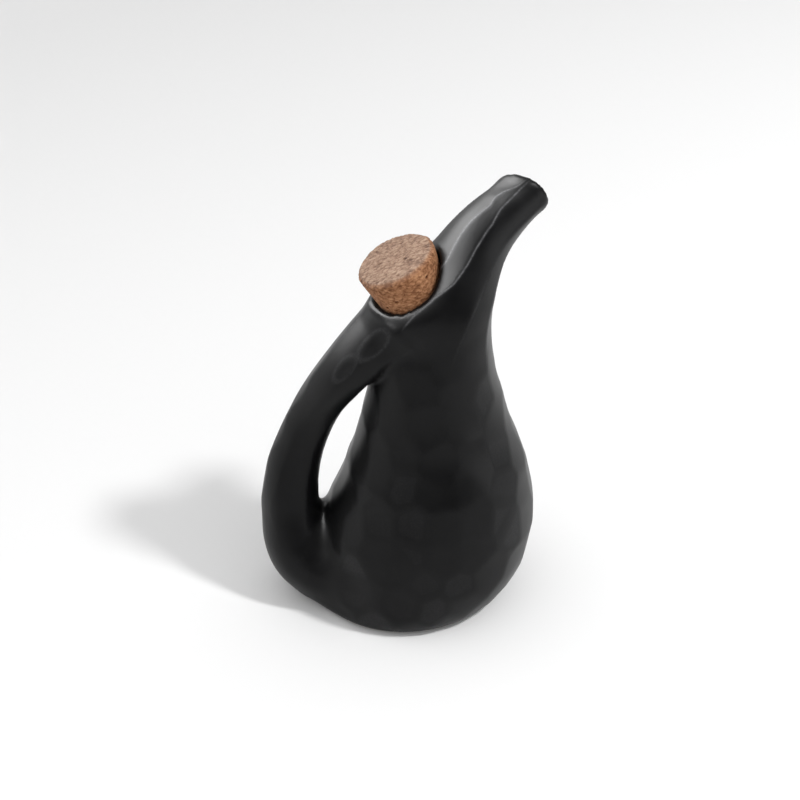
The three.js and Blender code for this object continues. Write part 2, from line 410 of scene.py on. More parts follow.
# %% Surface net
def surface_net(field):
    """Vertices and quads of the zero skin of a lattice field.

    A crossing on an edge from value a to value b lies at a / (a - b) along it.
    A cell's vertex is the mean of its crossings. Each crossed edge joins the
    four cells around it in one quad, turned so that it faces out of the clay.
    """
    block = field.reshape(counts).astype(np.float64)
    cells = counts - 1
    total = np.zeros((*cells, 3))
    number = np.zeros(cells)
    quads = []
    names = np.arange(np.prod(cells)).reshape(cells)
    for axis in range(3):
        start = np.moveaxis(block, axis, 0)[:-1]
        end = np.moveaxis(block, axis, 0)[1:]
        crossed = (start < 0) != (end < 0)
        share = np.where(crossed, start / np.where(crossed, start - end, 1), 0)
        others = [i for i in range(3) if i != axis]
        for step in ((0, 0), (0, 1), (1, 0), (1, 1)):
            window = tuple(slice(1 - k, n - k) for k, n in zip(step, crossed.shape[1:]))
            hit, part = crossed[(slice(None), *window)], share[(slice(None), *window)]
            number += np.moveaxis(hit, 0, axis)
            total[..., axis] += np.moveaxis(hit * part, 0, axis)
            for other, k in zip(others, step):
                total[..., other] += np.moveaxis(hit * (1 - k), 0, axis)
        inside = np.moveaxis(names, axis, 0)
        corners = [inside[:, 1:, 1:], inside[:, :-1, 1:], inside[:, :-1, :-1], inside[:, 1:, :-1]]
        hit = crossed[:, 1:-1, 1:-1]
        quad = np.stack([c[hit] for c in corners], 1)
        outwards = (start[:, 1:-1, 1:-1] < 0)[hit] ^ (axis == 1)
        quad[~outwards] = quad[~outwards][:, ::-1]
        quads.append(quad)
    used = number > 0
    index = np.stack(np.nonzero(used), 1)
    vertices = low_corner + lattice * (index + total[used] / number[used][:, None])
    order = np.full(names.size, -1)
    order[names[used]] = np.arange(len(index))
    return vertices, order[np.vstack(quads)]


vertices, quads = surface_net(solid)
print("skin:", len(vertices), "vertices,", 2 * len(quads), "triangles")
print("skin box:", vertices.min(0).round(1), vertices.max(0).round(1))


# %% Readings off the lattice
def read_lattice(values, places):
    """Trilinear reading of a lattice of values at the places."""
    block = values.reshape(counts)
    where = (places - low_corner) / lattice
    whole = np.clip(np.floor(where).astype(int), 0, counts - 2)
    part = where - whole
    total = np.zeros(len(places))
    for corner in np.ndindex(2, 2, 2):
        weight = np.prod(np.where(corner, part, 1 - part), axis=1)
        total += weight * block[tuple((whole + corner).T)]
    return total


def slope_of(values, places):
    """Unit gradient of a lattice of values at the places, from readings 1 mm apart."""
    step = 0.5 * np.eye(3)
    rises = [read_lattice(values, places + e) - read_lattice(values, places - e) for e in step]
    slope = np.stack(rises, 1)
    return slope / (np.linalg.norm(slope, axis=1, keepdims=True) + 1e-9)


settling_rounds = 3
for _ in range(settling_rounds):
    vertices -= read_lattice(solid, vertices)[:, None] * slope_of(solid, vertices)
print("mean miss of the skin in mm:", round(float(np.abs(read_lattice(solid, vertices)).mean()), 3))

# %% [markdown]
# ## Hand-cut facets
#
# The maker pressed and scraped the leather-hard clay with a small tool, stroke
# by stroke. On the bowl each stroke left a shallow scoop about as wide as a
# fingertip. Where two scoops meet there is a soft ridge that catches the light.
# They are real dents in the mesh, not bump, because they show in the outline.

# %% Scoops on the bowl
random = np.random.default_rng(seed)
row_gap = 14.5
stroke_gap = 16.0
scoop_reach = 10.8
scoop_mm = 0.75
scoop_soften = 0.4
turn_stray = 0.2
row_stray = 0.24
tone_most = 0.13


def read_rows(rows, s, at):
    """Rows of values, one at each place in s, read at the places at."""
    return np.stack([np.interp(at, s, column) for column in rows.T], 1)


def scoop_rows(sections, s):
    """Centres of the scoops, in rows round the run.

    Row n lies at n row_gap; round the row the centres keep about stroke_gap, odd
    rows are set half a gap on, and each centre strays at random by a part of a gap.
    """
    centres = []
    for row, place in enumerate(np.arange(row_gap / 3, s[-1], row_gap)):
        mean_radius = np.sqrt((read_rows(sections[4], s, [place]) ** 2).mean())
        number = max(5, round(2 * math.pi * mean_radius / stroke_gap))
        stray = random.normal(0, turn_stray, number)
        turn = 2 * math.pi * (np.arange(number) + row % 2 / 2 + stray) / number
        at = np.clip(place + random.normal(0, row_stray * row_gap, number), 0, s[-1])
        middle, side, depth, _, half = (read_rows(part, s, at) for part in sections)
        across = half * np.stack([np.cos(turn), np.sin(turn)], 1)
        centres.append(middle + side * across[:, :1] + depth * across[:, 1:])
    return np.vstack(centres)


def scoop_depth(places, centres, tones, reach, soften):
    """How deep the scoops lie at the places, as a share from 0 on a ridge to 1, and their tone.

    With f the squared distance to the nearest centre, a little less counted in
    height, the share is 1 - f / reach^2, not below 0. The two nearest centres are joined by the
    smooth union of their f, which rounds the ridge between them. The tone is the
    nearest scoop's own, faded out to its rim and to where the next one is as near.
    """
    nearest = np.full(len(places), 4.0 * reach**2)
    second = nearest.copy()
    tone = np.zeros(len(places))
    for centre, own_tone in zip(centres, tones):
        near = np.nonzero((np.abs(places - centre) < 2.2 * reach).all(1))[0]
        f = ((places[near] - centre) ** 2 * [1, 1, 0.7]).sum(1)
        closer = f < nearest[near]
        second[near] = np.where(closer, nearest[near], np.minimum(second[near], f))
        nearest[near] = np.where(closer, f, nearest[near])
        tone[near] = np.where(closer, own_tone, tone[near])
    share = np.clip(1 - blend_in(nearest, second, soften * reach**2) / reach**2, 0, 1)
    own = np.clip((second - nearest) / (0.6 * reach**2), 0, 1)
    return share, tone * own * np.clip(1.8 * share, 0, 1)


bowl_centres = scoop_rows(vessel, vessel_s)
bowl_tones = tone_most * random.uniform(0, 1, len(bowl_centres)) ** 2
bowl_scoops, bowl_thin = scoop_depth(vertices, bowl_centres, bowl_tones, scoop_reach, scoop_soften)
print("scoops on the bowl:", len(bowl_centres))

# %% [markdown]
# ## Long facets on the spout and the handle
#
# Up the neck and along the handle the tool was drawn in long strokes, which
# left planes with ridges between them. A ridge is written as a row of places up
# the run, each with its turn round the section in degrees: 0 at the back,
# minus on the near side. The number before it says how pale the glaze is painted
# along it, partly for glaze that ran thin and partly as painted highlight.
# The first two on the spout are crisp, and are drawn finer further down.

# %% Ridges
# first number: how pale the ridge is painted, thin glaze and painted highlight
spout_ridges = [
    (0.20, [(140, -36), (149, -39), (158, -45), (166, -54), (175, -58),
            (183, -56), (189, -50), (194, -36), (203, -25), (208, -24)]),
    (0.20, [(140, -12), (160, -26), (170, -28), (178, -22), (185, -18),
            (193, -16), (196, -6), (199, -7), (203, -16), (208, -18)]),
    (0.12, [(140, -92), (165, -98), (185, -100), (208, -92)]),
    (0.25, [(140, -138), (165, -132), (185, -138), (208, -142)]),
    (0.25, [(140, 176), (170, 184), (208, 172)]),
    (0.25, [(140, 128), (175, 132), (208, 124)]),
    (0.30, [(140, 84), (175, 78), (208, 76)]),
    (0.40, [(140, 44), (170, 32), (190, 36), (208, 28)]),
]
# first number: how pale the ridge is painted, thin glaze and painted highlight
handle_ridges = [
    (0.05, [(0, -62), (30, -66), (57, -52), (105, -60), (130, -66), (150, -73), (168, -68)]),
    (0.05, [(0, -120), (30, -112), (57, -122), (105, -118),
            (131, -126), (144, -112), (153, -97), (168, -100)]),
    (0.25, [(0, 178), (57, 186), (105, 176), (168, 180)]),
    (0.25, [(0, 120), (57, 112), (105, 122), (168, 116)]),
    (0.30, [(0, 62), (57, 66), (105, 54), (168, 60)]),
    (0.35, [(0, 4), (30, -8), (57, 8), (105, -4), (168, 2)]),
]


# %% Depth of the long facets
flute_limit = 0.8
ridge_width = 0.9


def fluted(s, turn, size, ridges):
    """Depth in mm of long facets between ridges, and how near a crisp ridge is.

    Between two ridges at turns low and high, t runs from -1 to 1 and the depth is
    limit (1 - exp(-c / limit)) (1 - t^2), where c = size (1 - cos((high - low) / 2))
    is how far a flat plane would lie under the round wall. The nearness is
    shine exp(-(distance to the ridge / ridge_width)^2).
    """
    angles = np.stack([np.interp(s, *np.array(line).T) for _, line in ridges])
    shines = np.array([shine for shine, _ in ridges])
    order = np.argsort(angles, axis=0)
    angles = np.take_along_axis(angles, order, 0)
    shines = shines[order]
    place = (turn - angles[0]) % 360 + angles[0]
    below = (place >= angles).sum(0) - 1
    above = (below + 1) % len(ridges)
    column = np.arange(len(s))
    low = angles[below, column]
    high = angles[above, column] + 360 * (above == 0)
    t = 2 * (place - low) / (high - low) - 1
    chord = size * (1 - np.cos(np.radians(high - low) / 2))
    depth = flute_limit * (1 - np.exp(-chord / flute_limit)) * (1 - t * t)
    to_low = np.radians(place - low) * size / ridge_width
    to_high = np.radians(high - place) * size / ridge_width
    crests = shines[below, column] * np.exp(-to_low**2), shines[above, column] * np.exp(-to_high**2)
    return depth, np.maximum(*crests)


def ridge_gap(s, turn, size, line):
    """Distance in mm round the section from a ridge's line, plus on its far side."""
    off = (turn - np.interp(s, *np.array(line).T) + 180) % 360 - 180
    return np.radians(off) * size


def chart(places, sections, run_s):
    """Place along a drawn-on run in mm, turn in degrees and mean radius at the places."""
    _, plane, turn = field_of_run(places, sections)
    index = np.clip(plane - 1, 0, len(run_s) - 1)
    s = np.interp(index, np.arange(len(run_s)), run_s)
    return s, np.degrees(turn), np.interp(s, run_s, sections[4][1:-1].mean(1))


on_vessel = chart(vertices, vessel_drawn_on, vessel_s)
on_handle = chart(vertices, handle_drawn_on, handle_s)
spout_depth, spout_shine = fluted(*on_vessel, spout_ridges)
handle_depth, handle_shine = fluted(*on_handle, handle_ridges)

# %% [markdown]
# ## Thumb dents on the handle
#
# A few oval dents lie across the long facets of the handle. Each is given by
# its place along the handle, its turn, its half length, half width and depth,
# and how pale its rim is painted, partly for thin glaze and partly as painted
# highlight.

# %% Dents
# last column: how pale the rim is painted, thin glaze and painted highlight
handle_dents = [
    (157, -58, 9.0, 4.2, 0.9, 0.20), (141, -52, 6.5, 3.6, 0.8, 0.16),
    (122, -40, 12, 6.5, 0.35, 0), (118, -95, 13, 6, 0.35, 0), (98, -62, 13, 7, 0.35, 0),
    (92, -140, 14, 7, 0.35, 0), (78, -88, 11, 7, 0.40, 0), (60, -35, 13, 8, 0.40, 0),
    (52, -100, 14, 8, 0.40, 0), (34, -60, 12, 9, 0.45, 0), (70, 60, 15, 8, 0.45, 0),
    (40, 100, 15, 9, 0.45, 0), (100, 90, 15, 7, 0.40, 0), (130, 70, 13, 7, 0.40, 0),
    (28, 20, 13, 9, 0.40, 0), (150, 80, 11, 6, 0.40, 0), (114, 4, 10, 8, 0.60, 0),
    (90, -8, 10, 8, 0.60, 0), (68, 6, 10, 8, 0.65, 0), (47, -8, 10, 9, 0.65, 0),
]


def dented(s, turn, size, dents):
    """Depth in mm of oval dents, depth (1 - e^2) inside e = 1, and the shine of their rims.

    e is the distance from the dent's middle, each way divided by its half size.
    """
    depth, shine = np.zeros(len(s)), np.zeros(len(s))
    for at, middle_turn, half_length, half_width, deep, thin_glaze_and_sheen in dents:
        across = np.radians((turn - middle_turn + 180) % 360 - 180) * size
        e = np.hypot((s - at) / half_length, across / half_width)
        depth = np.maximum(depth, deep * np.clip(1 - e * e, 0, 1))
        rim = np.exp(-(((e - 1) * half_width / ridge_width) ** 2))
        # painted highlight on the rim, and a weaker one over the inside of the dent
        shine = np.maximum(shine, thin_glaze_and_sheen * np.maximum(rim, 0.3 * (e < 1)))
    return depth, shine


dent_depth, dent_shine = dented(*on_handle, handle_dents)

# %% [markdown]
# ## Where each kind of mark lies
#
# Each kind of mark has its own part of the skin, with soft borders: scoops on
# the bowl, long facets from the shoulder up and along the handle. None is cut
# on the foot, in the hollow, at the lip or in the cork's seat. A share is 1
# where its mark is full and 0 where there is none.

# %% Shares of the skin
outside_reach = 1.5
handle_border = 6
handle_low = 30
handle_fade = 20
spout_low = 132
spout_fade = 16
foot_fade = 5
mouth_fade = 9
mouth_kept = 0.1
seat_fade = 3
depth_fade = 6
over_seat = read_lattice(height, vertices)
off_line = read_lattice(radius, vertices) - seat_radius
to_vessel = read_lattice(vessel_field, vertices)
to_mouth = lip_beyond - read_lattice(beyond_mouth, vertices)
to_front = np.clip(-np.cos(np.radians(on_vessel[1])), 0, 1)

on_outside = np.clip(1 - np.abs(read_lattice(outside, vertices)) / outside_reach, 0, 1)
nearer_handle = (to_vessel - read_lattice(handle_field, vertices)) / handle_border
handle_share = np.clip(0.5 + nearer_handle, 0, 1)
handle_share *= np.clip((vertices[:, 2] - handle_low) / handle_fade, 0, 1)
spout_share = np.clip((on_vessel[0] - spout_low) / spout_fade, 0, 1)
off_foot = np.clip(vertices[:, 2] / foot_fade, 0, 1)
off_mouth = np.clip(to_mouth / mouth_fade - mouth_kept, 0, 1)
off_seat = np.clip(off_line / seat_fade, 0, 1)
off_seat = np.maximum(off_seat, np.clip(-over_seat / depth_fade - 1, 0, 1))
allowed = on_outside * off_foot * off_mouth * off_seat

# %% [markdown]
# ## Press the marks in
#
# The lip is first bent outwards, more at the front, where the oil leaves it.
# Then each vertex moves along the skin's own slope: out by the little that
# the clay stands proud of its stations, and in by the mark's depth.

# %% Marks
proud = 0.4
front_proud = 0.9
front_middle = 72
front_reach = 30
lip_flare = 0.7
flare_reach = 4
vessel_marks = spout_share * spout_depth + (1 - spout_share) * scoop_mm * bowl_scoops
handle_marks = np.maximum(handle_depth, dent_depth)
pressed = ((1 - handle_share) * vessel_marks + handle_share * handle_marks) * allowed
flare = lip_flare * np.exp(-((to_mouth / flare_reach) ** 2)) * (1 + to_front)
vertices += flare[:, None] * slope_of(vessel_field, vertices)
front_share = np.exp(-(((on_vessel[0] - front_middle) / front_reach) ** 2)) * to_front
raised = (proud + front_proud * front_share) * on_outside * off_foot
vertices += (raised - pressed)[:, None] * slope_of(solid, vertices)
print("deepest mark in mm:", round(float(pressed.max()), 2))

# %% [markdown]
# ## Thumbed smooth
#
# A potter goes round the lip, the filler hole and the web of the handle with a
# wet finger. The mesh needs it too: a thin edge in a lattice comes out with
# small teeth. Each vertex is drawn towards the mean of its neighbours. That
# alone would wear the edge down, so on most rounds it is pushed back again.

# %% Smooth the lip, the hole and the web
half_way = 0.5
push_back = 1.04


def relaxed(places, faces, share, rounds, back):
    """Places evened out over the net, rounds times.

    Each time a place moves a share of the way to the mean of its neighbours, and
    then back times that share away from the new mean, which keeps it from shrinking.
    """
    ends = np.vstack([faces[:, [k, (k + 1) % 4]] for k in range(4)])
    ends = np.vstack([ends, ends[:, ::-1]])
    number = np.bincount(ends[:, 0], minlength=len(places))
    for step in (1, -back) * rounds:
        total = [np.bincount(ends[:, 0], places[ends[:, 1], i], len(places)) for i in range(3)]
        places = places + step * share[:, None] * (np.stack(total, 1) / number[:, None] - places)
    return places


def faded(distance, reach):
    """Share 1 out to half the reach from 0, and 0 from 1.5 times the reach."""
    return np.clip(1.5 - np.abs(distance) / reach, 0, 1)


at_lip = faded(to_mouth, 3)
at_hole = faded(read_lattice(radius, vertices) - seat_radius, 2)
at_hole *= faded(read_lattice(height, vertices), 4)
vertices = relaxed(vertices, quads, half_way * at_lip, 9, 0)
vertices = relaxed(vertices, quads, half_way * np.maximum(at_lip, at_hole), 14, push_back)

web_low, web_low_fade = 12, 6
web_high, web_high_fade = 52, 8
web_border = 5
at_web = np.clip(2 - np.abs(read_lattice(vessel_field - handle_field, vertices)) / web_border, 0, 1)
at_web *= np.clip((web_high - vertices[:, 2]) / web_high_fade, 0, 1)
at_web *= np.clip((vertices[:, 2] - web_low) / web_low_fade, 0, 1) * on_outside
vertices = relaxed(vertices, quads, half_way * at_web, 16, 0)
vertices[:, 2] = np.maximum(vertices[:, 2], 0)

# %% [markdown]
# ## Where the glaze is painted paler
#
# Glaze flows off a ridge while it is molten, and leaves a drier, greyer film
# there. The same pale grey is also painted highlight: on the ridges, the crests
# between scoops, the rims of two dents and the lip, and more at the front of the
# lip as a painted glint. So the marks also say how pale the glaze is at each
# vertex. The two crisp ridges of the spout are finer than the mesh. For them the
# mesh carries the distance to the ridge, and the material draws the painted line
# from that.

# %% Pale shares of thin glaze and painted highlight, crisp lines and bare foot
bowl_crest = 0.06
crest_narrow = 3.2
# the lip is painted paler all round, and more at the front as a painted glint
lip_thin_glaze_and_sheen, lip_front_painted_glint = 0.25, 0.35
lip_line, lip_width = 0.6, 0.7
lip_inwards = 1.2
crisp_turn = -35
gap_most = 12
bare_height = 0.8
hollow_depth = 45
# pale crests between scoops, ridges and dent rims: thin glaze and painted highlight
bowl_shine = np.maximum(bowl_crest * np.clip(1 - crest_narrow * bowl_scoops, 0, 1), bowl_thin)
shine = (1 - handle_share) * (spout_share * spout_shine + (1 - spout_share) * bowl_shine)
shine += handle_share * np.maximum(handle_shine, dent_shine)
lip = np.exp(-((to_mouth - lip_line) / lip_width) ** 2)
lip *= read_lattice(vessel_field, vertices) > -lip_inwards
shine = np.maximum(shine * allowed, (lip_thin_glaze_and_sheen + lip_front_painted_glint * to_front) * lip)
# the two crisp ridge lines are painted highlight as well as thin glaze, kept to the side round
# crisp_turn
facing = np.clip(2 * np.cos(np.radians(on_vessel[1] - crisp_turn)), 0, 1)
crisp = spout_share * (1 - handle_share) * allowed * facing
bare = np.clip(1.6 - vertices[:, 2] / bare_height, 0, 1)
bare *= read_lattice(outside, vertices) > -hollow_depth


# %% [markdown]
# ## A mesh from the arrays
#
# The arrays go into a mesh in one call, in metres, with the object itself left
# at the origin. Smooth shading is right for the glazed skin: the ridges are
# broad enough to show in the mesh by themselves.

# %% Mesh helper
def mesh_from(name, places, faces, smooth=True):
    """A mesh object from places in mm and lists of vertex numbers."""
    mesh = bpy.data.meshes.new(name)
    mesh.from_pydata((places * MM).tolist(), [], faces)
    mesh.polygons.foreach_set("use_smooth", np.full(len(mesh.polygons), smooth))
    mesh.update()
    made = bpy.data.objects.new(name, mesh)
    bpy.context.scene.collection.objects.link(made)
    print(name, len(mesh.vertices), "vertices,", len(mesh.polygons), "faces")
    return made


def layer(thing, name, values):
    """A number at every vertex, which the material reads by name."""
    made = thing.data.attributes.new(name, "FLOAT", "POINT")
    made.data.foreach_set("value", np.asarray(values, np.float32))


skin = mesh_from("fired_vessel", vertices, quads.tolist())
layer(skin, "ridge", shine)
layer(skin, "bare", bare)
layer(skin, "crisp", crisp)
crisp_names = ("upper_ridge", "near_ridge")
for name, (_, line) in zip(crisp_names, spout_ridges):
    layer(skin, name, np.clip(ridge_gap(*on_vessel, line), -gap_most, gap_most))


# %% [markdown]
# ## Materials by small steps
#
# Every material is built by one helper that adds a node with its settings and
# links. Colours are written as sRGB hex, as a glaze chart or a paint card
# gives them, and one function turns them to linear light.

# %% Node helper and colours
def linear(hex_colour):
    """sRGB hex to linear RGBA: c / 12.92 below 0.04045, else ((c + 0.055) / 1.055)^2.4."""
    value = hex_colour.lstrip("#")
    parts = [int(value[i : i + 2], 16) / 255 for i in (0, 2, 4)]
    return (*[c / 12.92 if c <= 0.04045 else ((c + 0.055) / 1.055) ** 2.4 for c in parts], 1.0)


def add_node(holder, kind, settings=None, **inputs):
    """Adds a node. Settings are its own fields; an input is a value or a socket to link."""
    tree = holder.node_tree
    node = tree.nodes.new(kind)
    for key, value in (settings or {}).items():
        setattr(node, key, value)
    for key, value in inputs.items():
        socket = node.inputs[int(key[1:]) if key[1:].isdigit() else key.replace("_", " ")]
        if isinstance(value, bpy.types.NodeSocket):
            tree.links.new(value, socket)
        else:
            socket.default_value = value
    return node


def ramp(holder, factor, stops):
    """A colour ramp with (place, hex colour) stops."""
    node = add_node(holder, "ShaderNodeValToRGB", None, Fac=factor)
    elements = node.color_ramp.elements
    while len(elements) < len(stops):
        elements.new(0.5)
    for element, (place, colour) in zip(elements, stops):
        element.position = place
        element.color = linear(colour)
    return node.outputs["Color"]


def ranged(holder, value, from_low, from_high, to_low, to_high):
    """A number moved from one range to another, held at its ends."""
    return add_node(
        holder, "ShaderNodeMapRange", None,
        Value=value, From_Min=from_low, From_Max=from_high, To_Min=to_low, To_Max=to_high,
    ).outputs["Result"]


def worked_out(holder, operation, *numbers):
    """A sum or another operation on numbers."""
    inputs = {f"_{i}": number for i, number in enumerate(numbers)}
    return add_node(holder, "ShaderNodeMath", {"operation": operation}, **inputs).outputs[0]


def times_plus(holder, a, b, c):
    """a b + c"""
    return worked_out(holder, "MULTIPLY_ADD", a, b, c)


def at_vertices(holder, name):
    """The number that the mesh carries under a name."""
    return add_node(holder, "ShaderNodeAttribute", {"attribute_name": name}).outputs["Fac"]


def noise(holder, place, size_mm, detail):
    """Noise with patches of about size_mm."""
    return add_node(
        holder, "ShaderNodeTexNoise", None, Vector=place, Scale=per_mm(size_mm), Detail=detail
    ).outputs["Fac"]


def cells(holder, place, size_mm):
    """A pattern of random cells, about size_mm across."""
    return add_node(holder, "ShaderNodeTexVoronoi", None, Vector=place, Scale=per_mm(size_mm))


def blended(holder, share, first, second, kind="MIX"):
    """Two colours mixed by a share, or by another blend type."""
    settings = {"data_type": "RGBA", "blend_type": kind}
    return add_node(holder, "ShaderNodeMix", settings, _0=share, _6=first, _7=second).outputs[2]


def new_material(name):
    """An empty material with its output, and Object coordinates in metres."""
    material = bpy.data.materials.new(name)
    material.use_nodes = True
    material.node_tree.nodes.clear()
    output = add_node(material, "ShaderNodeOutputMaterial")
    place = add_node(material, "ShaderNodeTexCoord").outputs["Object"]
    return material, output, place


def per_mm(size_mm):
    """Noise scale whose pattern repeats about every size_mm: 1 / size in metres."""
    return 1 / (size_mm * MM)


def surfaced(material, output, specular, **inputs):
    """The material with a Principled surface, its specular level set on its own socket."""
    shader = add_node(material, "ShaderNodeBsdfPrincipled", None, **inputs)
    shader.inputs["Specular IOR Level"].default_value = specular
    material.node_tree.links.new(shader.outputs[0], output.inputs["Surface"])
    return material


# %% [markdown]
# ## Black satin glaze on stoneware
#
# An iron-black glaze, dipped and fired to about 1200 degrees. It is glass with
# fine crystals in it, so it shines softly rather than like a mirror. It pools
# darker and glossier in the scoops and is a drier, greyer film along the ridges,
# partly where it ran thin and partly as painted highlight, and grog in the clay
# lifts it in tiny specks. The foot was wiped bare before firing, so that it
# would not stick to the kiln shelf.

# %% Glaze material
def satin_black_glaze():
    material, output, place = new_material("satin_black_glaze")
    ridge = at_vertices(material, "ridge")
    crisp = at_vertices(material, "crisp")
    cloud = noise(material, place, size_mm=22, detail=3.0)
    grain = noise(material, place, size_mm=0.9, detail=4.0)
    grog = cells(material, place, size_mm=2.6).outputs["Distance"]

    # the two crisp ridge lines: painted highlight lines, which also stand for thin glaze
    for name in crisp_names:
        gap = worked_out(material, "ABSOLUTE", at_vertices(material, name))
        line = times_plus(material, ranged(material, gap, 0.1, 0.6, 0.85, 0.0), crisp, 0.0)
        ridge = worked_out(material, "MAXIMUM", ridge, line)
    glass = ramp(material, cloud, [(0.35, "#080809"), (0.65, "#0e0e0f")])
    # pale grey on ridges, dent rims and lip: partly thin glaze, partly painted highlight
    thin_glaze_and_highlight_grey = ramp(material, grain, [(0.35, "#4c4c4e"), (0.65, "#666668")])
    pale_amount = times_plus(material, ridge, times_plus(material, grain, 0.6, 0.7), 0.0)
    thin_glaze_and_sheen = ranged(material, pale_amount, 0.05, 1.0, 0.0, 0.85)
    colour = blended(material, thin_glaze_and_sheen, glass, thin_glaze_and_highlight_grey)
    clay_colour = ramp(material, grain, [(0.35, "#4a3f38"), (0.65, "#6a5b50")])
    wiped = times_plus(material, cloud, 0.6, at_vertices(material, "bare"))
    edge = ranged(material, wiped, 0.7, 0.9, 0.0, 1.0)
    colour = blended(material, edge, colour, clay_colour)

    satin = ranged(material, cloud, 0.3, 0.7, 0.30, 0.38)
    film = times_plus(material, thin_glaze_and_sheen, 0.18, satin)
    rough = worked_out(material, "MAXIMUM", film, times_plus(material, edge, 0.8, 0.0))
    lift = ranged(material, grog, 0.0, 0.2, 1.0, 0.0)
    relief = times_plus(material, lift, 0.3, grain)
    bump = add_node(material, "ShaderNodeBump", None, Strength=0.12, Distance=0.2 * MM, Height=relief)
    normal = bump.outputs["Normal"]
    return surfaced(material, output, 0.14, Base_Color=colour, Roughness=rough, Normal=normal, IOR=1.5)


skin.data.materials.append(satin_black_glaze())
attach(skin, "vessel")
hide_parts("foot_disc", "bowl_wall", "neck_wall", "spout", "handle")

# %% [markdown]
# ## The cork
#
# A tapered stopper cut from pressed cork and sanded. Its faces show fine
# grains of close tan tones, with small dark pits where grains fell out. It is a
# profile turned about the cork's line. The turning is done with arrays, in
# steps of half a millimetre, so that the pits can be pushed into the mesh.

# %% Cork body
cork_sides = 264
cork_step = 0.5
hub_radius = 0.4


def turned(profile, sides):
    """Rings of a profile (radius, height) turned about Z, with a hub at both ends."""
    turn = 2 * math.pi * np.arange(sides) / sides
    ring = np.stack([np.cos(turn), np.sin(turn)], 1)
    places = [np.append(ring * r, np.full((sides, 1), h), axis=1) for r, h in profile]
    places = np.vstack(places + [[[0, 0, profile[0][1]]], [[0, 0, profile[-1][1]]]])
    k = np.arange(sides)
    after = (k + 1) % sides
    band = np.stack([k, after, sides + after, sides + k], 1)
    rows = [i * sides + band for i in range(len(profile) - 1)]
    last = (len(profile) - 1) * sides
    hub = len(profile) * sides
    faces = np.vstack(rows).tolist()
    faces += np.stack([np.full(sides, hub), after, k], 1).tolist()
    faces += np.stack([np.full(sides, hub + 1), last + k, last + after], 1).tolist()
    return places, faces


def cork_profile():
    """Bottom face, chamfer, tapered side, chamfer and top face, about cork_step apart."""
    low, high, chamfer = cork_showing - cork_length, cork_showing, cork_chamfer
    base = cork_radius(low)
    corners = [(hub_radius, low), (base - chamfer, low), (cork_radius(low + chamfer), low + chamfer)]
    corners += [(cork_radius(high - chamfer), high - chamfer), (cork_top_radius - chamfer, high)]
    corners += [(hub_radius, high)]
    profile = []
    for (r0, h0), (r1, h1) in zip(corners, corners[1:]):
        number = max(2, round(math.hypot(r1 - r0, h1 - h0) / cork_step))
        profile += [(r0 + (r1 - r0) * i / number, h0 + (h1 - h0) * i / number) for i in range(number)]
    return profile + corners[-1:]


cork_places, cork_faces = turned(cork_profile(), cork_sides)


# %% Random grains
grain_near = 2.4


def grain_points(places, number, low, high, stretch):
    """Distance to the nearest and to the second nearest of many random points in a box.

    Distances are shortened along the first axis by stretch, for grains that lie
    along one way of the pressed block.
    """
    points = random.uniform(low, high, (number, 3))
    points = points[np.argsort(points[:, 2])]
    first = np.full(len(places), 1e9)
    second = first.copy()
    for point in points:
        near = np.nonzero(np.abs(places[:, 2] - point[2]) < grain_near)[0]
        gap = np.linalg.norm((places[near] - point) * [1 / stretch, 1, 1], axis=1)
        closer = gap < first[near]
        second[near] = np.where(closer, first[near], np.minimum(second[near], gap))
        first[near] = np.where(closer, gap, first[near])
    return first, second


# %% [markdown]
# ## Grains, pits and a worn rim
#
# The pits go deepest, the clefts between grains are faint, and the rim has
# crumbled a little and unevenly. Above the seat the cork swells, since it has
# stood there pressed in for a long time. All four move the mesh along its own
# outward way, which is straight up on the top face and straight down below.

# %% The cork's marks and place
around_box = 1
grain_count, grain_stretch = 3600, 1.7
pit_count, pit_stretch = 520, 1.5
pit_radius = 0.75
cleft_mm, pit_mm, crumble_mm, swollen = 0.25, 0.7, 1.3, 0.6
rim_reach = 2.2
face_reach = 0.2
cork_low = cork_showing - cork_length
reach = cork_top_radius + around_box
box_low = [-reach, -reach, cork_low - around_box]
box_high = [reach, reach, cork_showing + around_box]
first, second = grain_points(cork_places, grain_count, box_low, box_high, grain_stretch)
cleft = np.clip(1 - (second - first) / 0.35, 0, 1) * np.clip((first - 0.5) / 0.6, 0, 1)
holes, _ = grain_points(cork_places, pit_count, box_low, box_high, pit_stretch)
pit = np.clip(1.1 - holes / pit_radius, 0, 1)

around = np.arctan2(cork_places[:, 1], cork_places[:, 0])
off_axis = np.hypot(cork_places[:, 0], cork_places[:, 1])
up_cork = cork_places[:, 2]
rim = np.exp(-((up_cork - cork_showing) / rim_reach) ** 2) * np.clip(off_axis / 6 - 1.6, 0, 1)
waver = 0.10 + 0.10 * np.sin(2 * around + 0.7) + 0.08 * np.sin(5 * around + 2.1)
waver += 0.07 * np.sin(11 * around)
outwards = cork_places * [1, 1, 0] / (off_axis[:, None] + 1e-6)
on_top = up_cork > cork_showing - face_reach
on_bottom = up_cork < cork_low + face_reach
outwards[on_top] = [0, 0, 1]
outwards[on_bottom] = [0, 0, -1]
cork_marks = cleft_mm * cleft + pit_mm * pit + crumble_mm * rim * np.clip(waver, 0, 1)
cork_marks -= swollen * np.clip(up_cork / cork_showing, 0, 1)
cork_places = cork_places - outwards * cork_marks[:, None]
placed = seat + cork_places @ np.stack([cork_side, [0, 1, 0], cork_up])
stopper = mesh_from("cork_body", placed, cork_faces)
layer(stopper, "pit", np.clip(0.35 * cleft + 1.1 * pit, 0, 1))
layer(stopper, "sanded", on_top | on_bottom)


